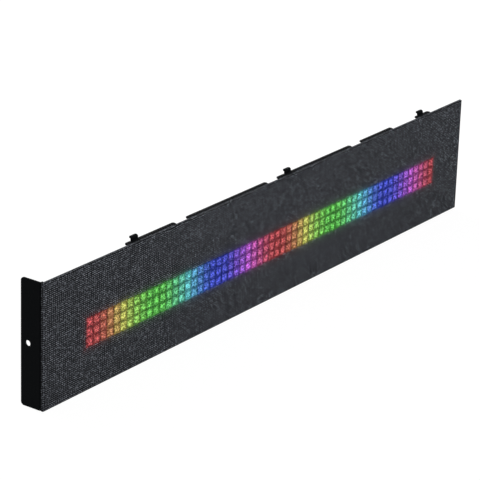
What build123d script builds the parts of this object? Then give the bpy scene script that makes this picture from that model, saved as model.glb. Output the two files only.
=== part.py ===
"""LED matrix panel: a cloth-covered front board on a folded sheet-metal chassis.

Three rows of coloured LEDs shine from separate cells through the cloth. The
front board and the LED modules snap into slots in the chassis. All sizes are
millimetres. X runs along the panel, Y from the cloth towards the open back and
Z up. The origin is under the middle of the overall box.
"""

import os

from build123d import *

os.makedirs("parts", exist_ok=True)

# Overall panel
PANEL_LENGTH = 715.0
PANEL_HEIGHT = 128.0
PANEL_DEPTH = 28.0

# Cloth-covered front board
CLOTH = 0.5
BOARD_THICKNESS = 3.3
EDGE_ROUND = 1.1
HEM_WIDTH = 10.0
LUG_COLUMNS = 5
LUG_INSET_X = 20.0
LUG_INSET_Z = 14.0

# Folded chassis
SHEET = 1.5
BEND_INSIDE = 0.6
BEND_RELIEF = 1.0
TAB_REACH = 5.0
TAB_CORNER = 2.0
LIP_REACH = 8.0
END_LIP_INSET = 12.0
FLANGE_CORNER = 3.5
FLANGE_HOLE = 6.0
FLANGE_HOLE_INSET = 8.4

# Hooks, and the strip of top tabs that carries them
HOOK_COUNT = 3
HOOK_PITCH = 250.0
HOOK_SHIFT = 32.5
HOOK_WIDTH = 10.0
HOOK_RISE = 4.0
HOOK_LIP = 2.1
HOOK_CORNER = 1.2
STRIP_START = 14.2
STRIP_END = 15.8
TAB_GAP = 19.5
TAB_GAP_COUNT = 3
TAB_GAP_PITCH = 150.9
TAB_GAP_SHIFT = 3.5
CUTOUT_WIDTH = 48.4
CUTOUT_TO_HOOK = 34.8

# Field of lit cells
CELL_PITCH = 10.0
CELL_WALL = 1.2
CELL_COLUMNS = 15
CELL_ROWS = 3
MODULE_COUNT = 4
MODULE_GAP = 0.1
FIELD_SHIFT = 3.0
FIELD_HEIGHT = 59.5
GRID_DEPTH = 9.5
GRID_FLANGE = 2.0
WINDOW_CLEARANCE = 0.5
LENS = 1.5

# Colours of the light behind the lenses, in the order that they follow each other
LIGHT_COLOURS = ("red", "yellow", "green", "cyan", "blue", "magenta")
COLUMNS_PER_COLOUR = 5
FIRST_COLUMN = 2

# Snap arms, their slots in the chassis and the pockets for their catches
SNAP_WIDTH = 6.0
SNAP_STEM = 1.6
CATCH = 0.8
CATCH_RISE = 1.2
SNAP_CLEARANCE = 0.1
SLOT_MARGIN = 2.0
MODULE_LUG_SPAN = 120.0
CLIP_COUNT = 3
CLIP_PITCH = 50.0

# Circuit boards and what stands on them
CIRCUIT_THICKNESS = 1.6
CIRCUIT_MARGIN = 8.7
CIRCUIT_GAP = 0.4
LED_SIZE = 5.0
LED_HEIGHT = 1.6
CHIP_LENGTH = 8.6
CHIP_WIDTH = 3.9
CHIP_HEIGHT = 1.6
CHIP_BEVEL = 0.3
CHIP_PITCH = 30.0
CHIPS_PER_MODULE = 4
FILTER_LENGTH = 3.2
FILTER_WIDTH = 1.6
FILTER_HEIGHT = 1.0
FILTER_DROP = 9.0

# Links between neighbouring circuit boards
LINK_WIDTH = 16.0
LINK_HEIGHT = 4.5
LINK_BODY = 5.0
LINK_SETBACK = 0.2
TONGUE_WIDTH = 12.0
TONGUE_THICKNESS = 2.0
TONGUE_ENGAGEMENT = 3.0
TONGUE_CLEARANCE = 0.1

# Controller board above the first LED board
CONTROLLER_LENGTH = 60.0
CONTROLLER_HEIGHT = 26.0
CONTROLLER_START = 15.0
PROCESSOR_SIZE = 10.0
PROCESSOR_HEIGHT = 1.4
COIL_SIZE = 8.0
COIL_HEIGHT = 4.0
COIL_CORNER = 1.6
CAN_DIAMETER = 6.3
CAN_HEIGHT = 5.8
CAN_FOOT = 1.0
CAN_COUNT = 2
CAN_PITCH = 8.0
PIN_COUNT = 4
PIN_PITCH = 3.96
PIN_SIZE = 1.1
PIN_HEIGHT = 6.5
HEADER_BASE = 2.6
HEADER_DEPTH = 7.0
HEADER_WALL = 1.4
HEADER_WALL_HEIGHT = 8.0
PART_GAP = 1.5

# Pillars and nuts that hold the controller board
PILLAR_ACROSS_FLATS = 5.0
PILLAR_INSET = 4.0
STUD_DIAMETER = 3.0
STUD_TIP = 0.8
NUT_ACROSS_FLATS = 5.5
NUT_HEIGHT = 2.4
HOLE_CLEARANCE = 0.1

# Planes that the pieces share
left = -PANEL_LENGTH / 2
front = -PANEL_DEPTH / 2
back = PANEL_DEPTH / 2
board_front = front + CLOTH
web_front = board_front + BOARD_THICKNESS
web_back = web_front + SHEET
web_middle = web_front + SHEET / 2
circuit_front = board_front + GRID_DEPTH
circuit_back = circuit_front + CIRCUIT_THICKNESS

# Bends and tabs
bend_outside = BEND_INSIDE + SHEET
tab_back = web_front + TAB_REACH
tab_level = PANEL_HEIGHT - SHEET / 2

# Field of cells, its window and its modules
module_length = CELL_PITCH * CELL_COLUMNS
field_length = module_length * MODULE_COUNT
field_left = FIELD_SHIFT - field_length / 2
cell_opening = CELL_PITCH - CELL_WALL
grid_height = CELL_PITCH * CELL_ROWS + CELL_WALL
window_length = field_length + 2 * WINDOW_CLEARANCE
window_height = grid_height + 2 * WINDOW_CLEARANCE
led_board_height = grid_height + 2 * CIRCUIT_MARGIN
clip_face = led_board_height / 2 + SNAP_CLEARANCE
flange_height = 2 * (clip_face + SNAP_STEM)
slot_height = SNAP_STEM + CATCH + SNAP_CLEARANCE
module_lug_face = window_height / 2 + SLOT_MARGIN + slot_height
module_centres = [field_left + module_length * (i + 0.5) for i in range(MODULE_COUNT)]

# Controller board's place, and the row of parts between its two nuts
led_board_top = FIELD_HEIGHT + led_board_height / 2
controller_x = field_left + CONTROLLER_START + CONTROLLER_LENGTH / 2
controller_bottom = FIELD_HEIGHT + flange_height / 2 + CIRCUIT_GAP
controller_z = controller_bottom + CONTROLLER_HEIGHT / 2
pillar_offset = CONTROLLER_LENGTH / 2 - PILLAR_INSET
row_half = pillar_offset - NUT_ACROSS_FLATS / 2 - PART_GAP
can_x = controller_x - row_half + CAN_DIAMETER / 2
coil_x = can_x + CAN_DIAMETER / 2 + PART_GAP + COIL_SIZE / 2
processor_x = coil_x + COIL_SIZE / 2 + PART_GAP + PROCESSOR_SIZE / 2
header_x = controller_x + row_half - HEADER_DEPTH / 2


def plate(outline, start, thickness):
    """A front-view outline made solid, from y = start towards the back."""
    return extrude(Plane.XZ.offset(-start - thickness) * outline, thickness)


def slab(x, z, length, height, start, thickness):
    """A rectangular plate about (x, z)."""
    return plate(Pos(x, z) * Rectangle(length, height), start, thickness)


def peg(x, z, diameter, start, length):
    """A round peg along Y about (x, z)."""
    return plate(Pos(x, z) * Circle(diameter / 2), start, length)


def group(pieces):
    """Separate solids kept together as one piece of the assembly."""
    return Compound(children=[solid for piece in pieces for solid in piece.solids()])


def between(start, stop):
    """The middle and the length of a stretch."""
    return (start + stop) / 2, stop - start


def spread(count, pitch, middle=0.0):
    """Evenly spaced places about a middle."""
    return [middle + pitch * (i - (count - 1) / 2) for i in range(count)]


def snap_arm(x, y, z, reach, direction, facing):
    """A snap arm from y on: a straight stem, and a catch that faces up or down."""
    outline = (
        (0, 0),
        (reach, 0),
        (reach, CATCH),
        (reach + CATCH_RISE, 0),
        (reach + CATCH_RISE, -SNAP_STEM),
        (0, -SNAP_STEM),
    )
    points = [(y + direction * along, z + facing * out) for along, out in outline]
    profile = make_face(Polyline(*points, close=True))
    return extrude(Plane.YZ.offset(x) * profile, SNAP_WIDTH / 2, both=True)


def snap_cut(x, z, facing, reach, start, depth):
    """The cut round an arm at z: past its stem on one side, by reach on the other."""
    middle, height = between(reach - slot_height, reach)
    length = SNAP_WIDTH + 2 * SNAP_CLEARANCE
    return slab(x, z + facing * middle, length, height, start, depth)


def board_lugs():
    """Place and facing of each lug that holds the front board to the chassis."""
    pitch = (PANEL_LENGTH - 2 * LUG_INSET_X) / (LUG_COLUMNS - 1)
    rows = ((LUG_INSET_Z, -1), (PANEL_HEIGHT - LUG_INSET_Z, 1))
    return [(x, z, facing) for x in spread(LUG_COLUMNS, pitch) for z, facing in rows]


def module_lugs(x):
    """Place and facing of each lug that holds one LED module to the chassis."""
    return [
        (lug_x, FIELD_HEIGHT + facing * module_lug_face, facing)
        for lug_x in spread(2, MODULE_LUG_SPAN, x)
        for facing in (-1, 1)
    ]


def rounded_front(margin, thickness, edge):
    """A plate inside the panel's outline by a margin, with its front edges rounded."""
    length = PANEL_LENGTH - 2 * margin
    height = PANEL_HEIGHT - 2 * margin
    block = slab(0, PANEL_HEIGHT / 2, length, height, front + margin, thickness)
    return fillet(block.faces().sort_by(Axis.Y)[0].edges(), edge)


def plain_board():
    """The front board before its cuts: its back has a step for the cloth's hem."""
    rim = rounded_front(CLOTH, BOARD_THICKNESS - CLOTH, EDGE_ROUND)
    inset = CLOTH + HEM_WIDTH
    length = PANEL_LENGTH - 2 * inset
    height = PANEL_HEIGHT - 2 * inset
    return rim + slab(0, PANEL_HEIGHT / 2, length, height, web_front - CLOTH, CLOTH)


def window(start, depth):
    """The cut that the LED modules stand in."""
    return slab(FIELD_SHIFT, FIELD_HEIGHT, window_length, window_height, start, depth)


def front_board():
    """The moulded board: a window for the cells, lugs, and pockets for catches."""
    board = plain_board() - window(board_front, BOARD_THICKNESS)
    depth = CATCH_RISE + SNAP_CLEARANCE
    for module_x in module_centres:
        for x, z, facing in module_lugs(module_x):
            reach = CATCH + SNAP_CLEARANCE
            board -= snap_cut(x, z, facing, reach, web_front - depth, depth)
    for x, z, facing in board_lugs():
        board += snap_arm(x, web_front, z, SHEET, 1, facing)
    return board


def fabric_cover():
    """The cloth: over the front, round all four edges and hemmed on the back."""
    return rounded_front(0, web_front - front, EDGE_ROUND + CLOTH) - plain_board()


def folded_strip(plane, span, *centre_line):
    """A strip of the sheet that follows a centre line and bends at its corners."""
    line = FilletPolyline(*centre_line, radius=BEND_INSIDE + SHEET / 2)
    return extrude(plane * trace(line, SHEET), span)


def rounded_end(strip, radius):
    """The strip with the outer corners of its back edge rounded."""
    corners = strip.edges().filter_by(Axis.Z).group_by(Axis.Y)[-1]
    return fillet(corners, radius)


def hook_places():
    """Middles of the hooks along X."""
    return spread(HOOK_COUNT, HOOK_PITCH, HOOK_SHIFT)


def tab_gaps():
    """Middle and width of each gap in the strip of tabs."""
    gaps = [(x, TAB_GAP) for x in spread(TAB_GAP_COUNT, TAB_GAP_PITCH, TAB_GAP_SHIFT)]
    return gaps + [(hook_places()[-1] - CUTOUT_TO_HOOK, CUTOUT_WIDTH)]


def web():
    """The flat of the chassis behind the front board, up to its bend lines."""
    middle, height = between(bend_outside, PANEL_HEIGHT - bend_outside)
    return slab(0, middle, PANEL_LENGTH - 2 * bend_outside, height, web_front, SHEET)


def top_tabs():
    """The row of tabs bent back along the top, with gaps and hook reliefs."""
    start = hook_places()[0] - STRIP_START
    stop = hook_places()[-1] + STRIP_END
    strip = folded_strip(
        Plane.YZ.offset(start),
        stop - start,
        (web_middle, PANEL_HEIGHT - bend_outside - SHEET),
        (web_middle, tab_level),
        (tab_back, tab_level),
    )
    for x, width in tab_gaps():
        strip -= slab(x, PANEL_HEIGHT, width, 2 * bend_outside, front, PANEL_DEPTH)
    strip = rounded_end(strip, TAB_CORNER)
    for x in hook_places():
        width = HOOK_WIDTH + 2 * BEND_RELIEF
        strip -= slab(x, PANEL_HEIGHT, width, 2 * SHEET, tab_back - bend_outside, TAB_REACH)
    return strip


def hook(x):
    """A tongue of the tab bent up and then back into a small hook."""
    tongue = folded_strip(
        Plane.YZ.offset(x - HOOK_WIDTH / 2),
        HOOK_WIDTH,
        (web_back, tab_level),
        (tab_back - SHEET / 2, tab_level),
        (tab_back - SHEET / 2, tab_level + HOOK_RISE),
        (tab_back + HOOK_LIP, tab_level + HOOK_RISE),
    )
    return rounded_end(tongue, HOOK_CORNER)


def bottom_lip():
    """The lip bent back along the bottom, clear of both ends."""
    start = left + bend_outside + SHEET + BEND_RELIEF
    return folded_strip(
        Plane.YZ.offset(start),
        -2 * start,
        (web_middle, bend_outside + SHEET),
        (web_middle, SHEET / 2),
        (web_front + LIP_REACH, SHEET / 2),
    )


def end_fold(side, bottom, height, stop):
    """One end of the web bent back as far as y = stop."""
    edge = side * PANEL_LENGTH / 2
    return folded_strip(
        Plane.XY.offset(bottom),
        height,
        (edge - side * (bend_outside + SHEET), web_middle),
        (edge - side * SHEET / 2, web_middle),
        (edge - side * SHEET / 2, stop),
    )


def left_flange():
    """The deep flange of the left end, with rounded corners and a fixing hole."""
    flange = end_fold(-1, 0, PANEL_HEIGHT, back)
    corners = flange.edges().filter_by(Axis.X).group_by(Axis.Y)[-1]
    flange = fillet(corners, FLANGE_CORNER)
    centre = (left, back - FLANGE_HOLE_INSET, PANEL_HEIGHT / 2)
    return flange - Pos(*centre) * Rot(0, 90, 0) * Cylinder(FLANGE_HOLE / 2, 4 * SHEET)


def right_lip():
    """The short lip of the right end, kept below the top edge of the front board."""
    height = PANEL_HEIGHT - 2 * END_LIP_INSET
    return end_fold(1, END_LIP_INSET, height, web_front + LIP_REACH)


def chassis():
    """The folded chassis in one piece, with its window and the slots for the snaps."""
    sheet = web() + top_tabs() + bottom_lip() + left_flange() + right_lip()
    for x in hook_places():
        sheet += hook(x)
    sheet -= window(web_front, SHEET)
    lugs = board_lugs() + [lug for x in module_centres for lug in module_lugs(x)]
    for x, z, facing in lugs:
        sheet -= snap_cut(x, z, facing, 0, web_front, SHEET)
    return sheet


def cell_places(x):
    """Middle of every cell of one module."""
    return [
        (column, row)
        for column in spread(CELL_COLUMNS, CELL_PITCH, x)
        for row in spread(CELL_ROWS, CELL_PITCH, FIELD_HEIGHT)
    ]


def light_grid(x):
    """One moulded grid: a square cell for each LED, flanges, lugs and board clips."""
    length = module_length - MODULE_GAP
    outline = Pos(x, FIELD_HEIGHT) * Rectangle(length, grid_height)
    outline -= [Pos(*place) * Rectangle(cell_opening, cell_opening) for place in cell_places(x)]
    grid = plate(outline, board_front, GRID_DEPTH)
    middle, height = between(grid_height / 2, flange_height / 2)
    for side in (-1, 1):
        grid += slab(x, FIELD_HEIGHT + side * middle, length, height, web_back, GRID_FLANGE)
        clip_z = FIELD_HEIGHT + side * clip_face
        for clip_x in spread(CLIP_COUNT, CLIP_PITCH, x):
            grid += snap_arm(clip_x, web_back, clip_z, circuit_back - web_back, 1, -side)
    for lug_x, lug_z, facing in module_lugs(x):
        grid += snap_arm(lug_x, web_back, lug_z, SHEET, -1, facing)
    return grid


def lit_columns(colour):
    """Middles of the field's columns that one colour lights."""
    columns = spread(CELL_COLUMNS * MODULE_COUNT, CELL_PITCH, FIELD_SHIFT)
    turns = [(FIRST_COLUMN + i) // COLUMNS_PER_COLOUR for i in range(len(columns))]
    shown = [LIGHT_COLOURS[turn % len(LIGHT_COLOURS)] for turn in turns]
    return [x for x, name in zip(columns, shown) if name == colour]


def cell_lenses(colour):
    """The windows cast into the front of the cells that one colour lights."""
    return group(
        slab(column, row, cell_opening, cell_opening, board_front, LENS)
        for column in lit_columns(colour)
        for row in spread(CELL_ROWS, CELL_PITCH, FIELD_HEIGHT)
    )


def leds(x):
    """The LED packages of one board, one in each cell."""
    return group(
        slab(column, row, LED_SIZE, LED_SIZE, circuit_front - LED_HEIGHT, LED_HEIGHT)
        for column, row in cell_places(x)
    )


def led_board(x):
    """The circuit board across the back of one light grid."""
    length = module_length - CIRCUIT_GAP
    return slab(x, FIELD_HEIGHT, length, led_board_height, circuit_front, CIRCUIT_THICKNESS)


def bevelled_chip(x, z, length, height, thickness):
    """A moulded chip body on a board's back, bevelled round its top."""
    body = slab(x, z, length, height, circuit_back, thickness)
    return chamfer(body.faces().sort_by(Axis.Y)[-1].edges(), CHIP_BEVEL)


def driver_chips(x):
    """The driver chips on the back of one LED board."""
    places = spread(CHIPS_PER_MODULE, CHIP_PITCH, x)
    return group(
        bevelled_chip(place, FIELD_HEIGHT, CHIP_LENGTH, CHIP_WIDTH, CHIP_HEIGHT)
        for place in places
    )


def filter_capacitors():
    """A small capacitor below every driver chip."""
    places = [place for x in module_centres for place in spread(CHIPS_PER_MODULE, CHIP_PITCH, x)]
    level = FIELD_HEIGHT - FILTER_DROP
    return group(
        slab(place, level, FILTER_LENGTH, FILTER_WIDTH, circuit_back, FILTER_HEIGHT)
        for place in places
    )


def link_plug(gap):
    """A plug at a board's edge, x = 0, its tongue reaching over a gap to the next."""
    middle, length = between(-LINK_BODY - LINK_SETBACK, -LINK_SETBACK)
    body = slab(middle, 0, length, LINK_WIDTH, circuit_back, LINK_HEIGHT)
    middle, length = between(-LINK_SETBACK, gap + LINK_SETBACK + TONGUE_ENGAGEMENT)
    level = circuit_back + (LINK_HEIGHT - TONGUE_THICKNESS) / 2
    return body + slab(middle, 0, length, TONGUE_WIDTH, level, TONGUE_THICKNESS)


def link_socket():
    """A socket at a board's edge, x = 0, whose slot takes the plug's tongue."""
    middle, length = between(LINK_SETBACK, LINK_SETBACK + LINK_BODY)
    body = slab(middle, 0, length, LINK_WIDTH, circuit_back, LINK_HEIGHT)
    depth = TONGUE_ENGAGEMENT + TONGUE_CLEARANCE
    middle, length = between(LINK_SETBACK, LINK_SETBACK + depth)
    width = TONGUE_WIDTH + 2 * TONGUE_CLEARANCE
    thickness = TONGUE_THICKNESS + 2 * TONGUE_CLEARANCE
    level = circuit_back + (LINK_HEIGHT - thickness) / 2
    return body - slab(middle, 0, length, width, level, thickness)


def pillar_places():
    """Middles of the two pillars that hold the controller board."""
    return [(x, controller_z) for x in spread(2, 2 * pillar_offset, controller_x)]


def controller_board():
    """The controller's circuit board with a hole for each pillar's stud."""
    board = slab(
        controller_x,
        controller_z,
        CONTROLLER_LENGTH,
        CONTROLLER_HEIGHT,
        circuit_front,
        CIRCUIT_THICKNESS,
    )
    hole = STUD_DIAMETER + 2 * HOLE_CLEARANCE
    for x, z in pillar_places():
        board -= peg(x, z, hole, circuit_front, CIRCUIT_THICKNESS)
    return board


def controller_pillar(x, z):
    """A hexagonal pillar on the web, with a stud up through the controller board."""
    hexagon = RegularPolygon(PILLAR_ACROSS_FLATS / 2, 6, major_radius=False)
    body = plate(Pos(x, z) * hexagon, web_back, circuit_front - web_back)
    length = CIRCUIT_THICKNESS + NUT_HEIGHT + STUD_TIP
    return body + peg(x, z, STUD_DIAMETER, circuit_front, length)


def controller_nut(x, z):
    """The nut that clamps the controller board on its pillar."""
    outline = RegularPolygon(NUT_ACROSS_FLATS / 2, 6, rotation=30, major_radius=False)
    outline -= Circle((STUD_DIAMETER + HOLE_CLEARANCE) / 2)
    return plate(Pos(x, z) * outline, circuit_back, NUT_HEIGHT)


def can_capacitor(z):
    """One upright can capacitor on its square foot."""
    foot = slab(can_x, z, CAN_DIAMETER, CAN_DIAMETER, circuit_back, CAN_FOOT)
    return foot + peg(can_x, z, CAN_DIAMETER, circuit_back + CAN_FOOT, CAN_HEIGHT - CAN_FOOT)


def power_coil():
    """The shielded coil of the power converter."""
    outline = RectangleRounded(COIL_SIZE, COIL_SIZE, COIL_CORNER)
    return plate(Pos(coil_x, controller_z) * outline, circuit_back, COIL_HEIGHT)


def input_header():
    """The inlet: a header's base with one locking wall."""
    length = PIN_COUNT * PIN_PITCH
    base = slab(header_x, controller_z, HEADER_DEPTH, length, circuit_back, HEADER_BASE)
    wall_x = header_x + (HEADER_DEPTH - HEADER_WALL) / 2
    wall = slab(wall_x, controller_z, HEADER_WALL, length, circuit_back, HEADER_WALL_HEIGHT)
    return base + wall


def input_pins():
    """The inlet's square pins, standing on the header's base."""
    x = header_x - HEADER_WALL / 2
    start = circuit_back + HEADER_BASE
    return group(
        slab(x, z, PIN_SIZE, PIN_SIZE, start, PIN_HEIGHT - HEADER_BASE)
        for z in spread(PIN_COUNT, PIN_PITCH, controller_z)
    )


# Links from each LED board to the next, and from the controller down to the first
joints = [x + (module_length - CIRCUIT_GAP) / 2 for x in module_centres[:-1]]
controller_gap = controller_bottom - led_board_top
turned_down = Rot(0, 90, 0)

pieces = {
    "chassis": chassis(),
    "front_board": front_board(),
    "fabric_cover": fabric_cover(),
    "filter_capacitors": filter_capacitors(),
    "link_plugs": group(Pos(x, 0, FIELD_HEIGHT) * link_plug(CIRCUIT_GAP) for x in joints),
    "link_sockets": group(
        Pos(x + CIRCUIT_GAP, 0, FIELD_HEIGHT) * link_socket() for x in joints
    ),
    "controller_board": controller_board(),
    "controller_chip": bevelled_chip(
        processor_x, controller_z, PROCESSOR_SIZE, PROCESSOR_SIZE, PROCESSOR_HEIGHT
    ),
    "controller_plug": (
        Pos(controller_x, 0, controller_bottom) * turned_down * link_plug(controller_gap)
    ),
    "controller_socket": Pos(controller_x, 0, led_board_top) * turned_down * link_socket(),
    "controller_pillars": group(controller_pillar(x, z) for x, z in pillar_places()),
    "controller_nuts": group(controller_nut(x, z) for x, z in pillar_places()),
    "power_coil": power_coil(),
    "can_capacitors": group(can_capacitor(z) for z in spread(CAN_COUNT, CAN_PITCH, controller_z)),
    "input_header": input_header(),
    "input_pins": input_pins(),
}
for number, module_x in enumerate(module_centres, start=1):
    pieces[f"light_grid_{number}"] = light_grid(module_x)
    pieces[f"led_board_{number}"] = led_board(module_x)
    pieces[f"leds_{number}"] = leds(module_x)
    pieces[f"driver_chips_{number}"] = driver_chips(module_x)

for colour in LIGHT_COLOURS:
    pieces[f"cell_lenses_{colour}"] = cell_lenses(colour)

for name, piece in pieces.items():
    export_step(piece, f"parts/{name}.step")
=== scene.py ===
import math

import bpy
from bpy.props import FloatProperty, FloatVectorProperty, IntProperty, PointerProperty
from mathutils import Matrix, Vector


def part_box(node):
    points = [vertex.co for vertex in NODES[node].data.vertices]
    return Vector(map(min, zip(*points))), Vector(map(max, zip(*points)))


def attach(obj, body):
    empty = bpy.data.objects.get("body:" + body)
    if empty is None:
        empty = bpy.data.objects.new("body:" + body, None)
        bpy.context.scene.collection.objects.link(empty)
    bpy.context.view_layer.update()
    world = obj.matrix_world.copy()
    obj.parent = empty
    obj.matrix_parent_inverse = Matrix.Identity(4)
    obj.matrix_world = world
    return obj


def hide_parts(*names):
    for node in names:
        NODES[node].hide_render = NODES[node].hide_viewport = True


bl_info = {
    "name": "LED matrix panel",
    "version": (1, 0, 0),
    "blender": (4, 5, 0),
    "location": "3D View > Sidebar > Matrix Panel",
    "description": "Dresses the packed model of a cloth-fronted LED matrix panel",
    "category": "Object",
}

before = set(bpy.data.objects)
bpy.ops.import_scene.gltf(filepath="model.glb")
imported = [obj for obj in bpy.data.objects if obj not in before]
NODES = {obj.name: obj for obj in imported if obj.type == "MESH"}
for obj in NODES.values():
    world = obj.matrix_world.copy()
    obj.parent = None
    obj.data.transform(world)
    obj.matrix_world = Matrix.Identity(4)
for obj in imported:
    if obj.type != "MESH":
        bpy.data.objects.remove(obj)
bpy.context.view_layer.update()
MM = 0.001

CLOTH_LOW, CLOTH_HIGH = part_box("fabric_cover")
LENS_NODES = [name for name in NODES if name.startswith("cell_lenses")]
LENS_LOW = Vector([min(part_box(name)[0][i] for name in LENS_NODES) for i in range(3)])
LENS_HIGH = Vector([max(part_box(name)[1][i] for name in LENS_NODES) for i in range(3)])
CIRCUIT_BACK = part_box("led_board_1")[1].y
MODULES = (1, 2, 3, 4)
CHIPS_ON_BOARD = 4
CHIP_LENGTH = 8.6 * MM
CHIP_LEVEL = sum(corner.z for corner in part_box("driver_chips_1")) / 2


def chip_places(number):
    """Where the driver chips of an LED board stand along the panel."""
    low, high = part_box(f"driver_chips_{number}")
    first, last = low.x + CHIP_LENGTH / 2, high.x - CHIP_LENGTH / 2
    return [first + (last - first) * i / (CHIPS_ON_BOARD - 1) for i in range(CHIPS_ON_BOARD)]


def linear(code):
    """The linear red, green and blue of an sRGB hex value."""
    shares = [int(code[i:i + 2], 16) / 255 for i in (1, 3, 5)]
    return tuple(s / 12.92 if s <= 0.04045 else ((s + 0.055) / 1.055) ** 2.4 for s in shares)


def colour(name, description, code):
    """A colour property with its default written as a hex value."""
    return FloatVectorProperty(
        name=name, description=description, subtype="COLOR", min=0, max=1, default=linear(code)
    )


def length(name, description, millimetres):
    """A length property with its default written in millimetres."""
    return FloatProperty(
        name=name, description=description, unit="LENGTH", min=0, default=millimetres * MM
    )


def number(name, description, value, **more):
    """A plain number property."""
    return FloatProperty(name=name, description=description, default=value, **more)


class MatrixPanelCloth(bpy.types.PropertyGroup):
    """Sizes and colours of the cloth cover."""

    thickness: length("Thickness", "Thickness of the cloth", 0.5)
    edge_radius: length("Edge radius", "Outer radius where the cloth turns over the edge", 1.6)
    fold_radius: length("Fold radius", "Middle radius where the cloth folds into its hem", 0.25)
    hem_edge: length("Hem edge", "How far the hem's free edge lies inside the outline", 10.5)
    warp: length("Warp spacing", "Distance from one upright thread to the next", 1.43)
    weft: length("Weft spacing", "Distance from one level thread to the next", 0.94)
    yarn_dark: colour("Dark yarn", "Colour of the dark fibres", "#101113")
    yarn_light: colour("Light yarn", "Colour of the light fibres", "#A6ABB6")


class MatrixPanelLight(bpy.types.PropertyGroup):
    """Layout, colours and strength of the lit cells."""

    pitch: length("Cell pitch", "Distance from one cell to the next", 10.0)
    columns: IntProperty(name="Columns", description="Cells along the panel", default=60)
    rows: IntProperty(name="Rows", description="Cells up the panel", default=3)
    turns: number("Turns", "Turns of the colour wheel along the field", 2.0)
    response: number("Response", "Steepness of each colour's dimming curve", 2.4)
    strength: number("Strength", "Strength of the light that comes through", 0.4)
    wall_level: number("Wall level", "Share of the light over the walls between cells", 0.42)
    middle_level: number("Middle level", "Share of the light over the middle of a cell", 1.4)
    soft_edge: length("Soft edge", "Distance from a wall to a cell's full light", 3.7)
    halo_level: number("Halo level", "Share of the light just outside the field", 0.19)
    halo_reach: length("Halo reach", "Distance in which the halo fades to about a third", 2.2)
    red: colour("Red", "Light of the red chips through the cloth", "#E9444A")
    green: colour("Green", "Light of the green chips through the cloth", "#6AF850")
    blue: colour("Blue", "Light of the blue chips through the cloth", "#2346FE")


class MatrixPanelMetal(bpy.types.PropertyGroup):
    """Finish of the folded chassis."""

    coat: colour("Coat", "Colour of the powder coat", "#07090B")
    grain: length("Grain", "Width of the coat's orange peel", 0.9)


class MatrixPanelBoards(bpy.types.PropertyGroup):
    """Sizes of the fine parts on the circuit boards."""

    leg_pitch: length("Leg pitch", "Distance from one driver chip leg to the next", 1.27)
    leg_width: length("Leg width", "Width of a chip leg", 0.4)
    leg_thickness: length("Leg thickness", "Thickness of a chip leg", 0.2)
    leg_reach: length("Leg reach", "How far a leg stands out from its chip", 1.05)
    track_width: length("Track width", "Width of a copper track, drawn wide enough to show", 0.4)
    track_height: length("Track height", "How far a track lifts the mask", 0.04)
    ink_line: length("Ink line", "Width of the printed lines, drawn wide enough to show", 0.3)
    ink_height: length("Ink height", "Thickness of the printed ink", 0.03)


class MatrixPanelStage(bpy.types.PropertyGroup):
    """Camera and light of the studio."""

    lens: number("Lens", "Focal length in mm", 190.568)
    sky: number("Sky", "Strength of the even light", 0.3)
    key: number("Key", "Power of the front lamp", 27.0, unit="POWER")
    top: number("Top", "Power of the top lamp", 3.0, unit="POWER")
    back: number("Back", "Power of the rear lamp", 90.0, unit="POWER")


def add(tree, kind, inputs=None, **settings):
    """One node with its settings; an input takes a value, a socket or a node's first output."""
    node = tree.nodes.new(f"ShaderNode{kind}")
    for name, value in settings.items():
        setattr(node, name, value)
    for name, value in (inputs or {}).items():
        if isinstance(value, bpy.types.Node):
            value = value.outputs[0]
        if isinstance(value, bpy.types.NodeSocket):
            tree.links.new(value, node.inputs[name])
        else:
            node.inputs[name].default_value = value
    return node


def new_material(name):
    """A material that has no nodes yet, and its tree."""
    made = bpy.data.materials.new(name)
    made.use_nodes = True
    made.node_tree.nodes.clear()
    return made, made.node_tree


def select_only(obj):
    """Selects one object and makes it the active one."""
    bpy.ops.object.select_all(action="DESELECT")
    obj.select_set(True)
    bpy.context.view_layer.objects.active = obj


def dress(obj, material):
    """Gives every face of an object one material."""
    obj.data.materials.clear()
    obj.data.materials.append(material)


def seat(obj, name, material, replaced=()):
    """Names a finished piece, gives it its finish and puts it on the panel's body."""
    obj.name = name
    obj.data.name = name
    dress(obj, material)
    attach(obj, "root")
    if replaced:
        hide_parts(*replaced)
    return obj


# Materials

# Directions in which the weave beats over two threads, and how strongly each beat shows.
BEATS = (((1, 1, 0), 0.16), ((0, 1, 0), 0.23), ((1, 0, 0), 0.06))
# How many threads a beat drifts by along the cloth.
DRIFT = 3.0
# How strongly pale floats, the fibres in them and pairs of threads show, and the lightness
# of the yarn before them.
FLOATS, FIBRES, PAIRS, GROUND = 0.4, 0.16, 0.07, -0.195
# Share of the cells' light that every float passes, and what the widest gap adds to it.
EVEN_GLOW, GAP_GLOW = 0.4, 1.5
# How far the brightest light bleaches to white, and where that ends.
BLEACH, BLEACH_LIMIT = (0.075, 0.07, 0.07), 2.6
# Share of the yarn's own colour that is left over the lit cells.
YARN_OVER_CELLS = 0.25


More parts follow.
